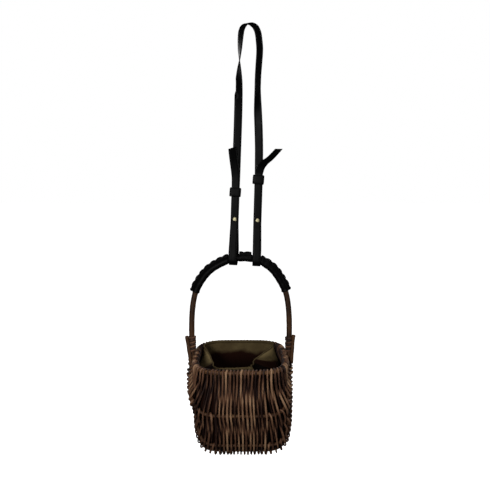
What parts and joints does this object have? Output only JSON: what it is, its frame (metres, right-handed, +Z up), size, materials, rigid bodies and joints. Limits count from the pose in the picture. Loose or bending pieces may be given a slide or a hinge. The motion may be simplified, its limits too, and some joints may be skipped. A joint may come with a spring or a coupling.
{
  "type": "fruit picking basket with shoulder strap",
  "caption": "Woven willow frame basket with a cloth liner, a tall hooped handle with a laced leather grip, and a long looped leather strap with sliding keepers.",
  "frame": {"origin": "under the crown of the strap, where a hook, a hand or a shoulder carries it", "axes": "+Z up along the hanging strap, +X to the basket's right, -Y to its front"},
  "size_m": [0.2855, 0.245, 1.1013],
  "materials": {
    "willow_rod": "dark brown willow rods in their bark, dull with small lighter knots",
    "willow_weaver": "dark brown and grey-brown willow weavers, satin where the bark is smooth",
    "liner_cloth": "olive-khaki cotton canvas, matt",
    "black_leather": "black bridle leather with a low satin sheen",
    "stud_brass": "pale nickelled brass, satin"
  },
  "bodies": {
    "carrier": {"strap": "black_leather", "left_stud_post": "stud_brass", "left_stud_screw": "stud_brass", "right_stud_post": "stud_brass", "right_stud_screw": "stud_brass"},
    "basket": {"main_hoop": "willow_rod", "rim_hoop": "willow_rod", "front_upper_rib": "willow_rod", "front_lower_rib": "willow_rod", "back_upper_rib": "willow_rod", "back_lower_rib": "willow_rod", "left_side_stake": "willow_rod", "right_side_stake": "willow_rod", "left_lashing": "willow_weaver", "right_lashing": "willow_weaver", "front_weave": "willow_weaver", "back_weave": "willow_weaver", "liner": "liner_cloth", "liner_hem": "liner_cloth", "grip_sleeve": "black_leather", "grip_lacing": "black_leather"},
    "left_keeper": {"left_keeper": "black_leather"},
    "right_keeper": {"right_keeper": "black_leather"}
  },
  "joints": [
    {"name": "basket_swing", "type": "hinge", "parent": "carrier", "child": "basket", "pos_m": [-0.0409, 0, -0.5694], "axis": [0.9989, 0, -0.0464], "range_deg": [-110, 110]},
    {"name": "left_keeper_slide", "type": "slide", "parent": "carrier", "child": "left_keeper", "axis": [0.036, 0, 0.9994], "range_m": [-0.045, 0.012]},
    {"name": "right_keeper_slide", "type": "slide", "parent": "carrier", "child": "right_keeper", "axis": [0.0275, 0, 0.9996], "range_m": [-0.075, 0.002]}
  ]
}
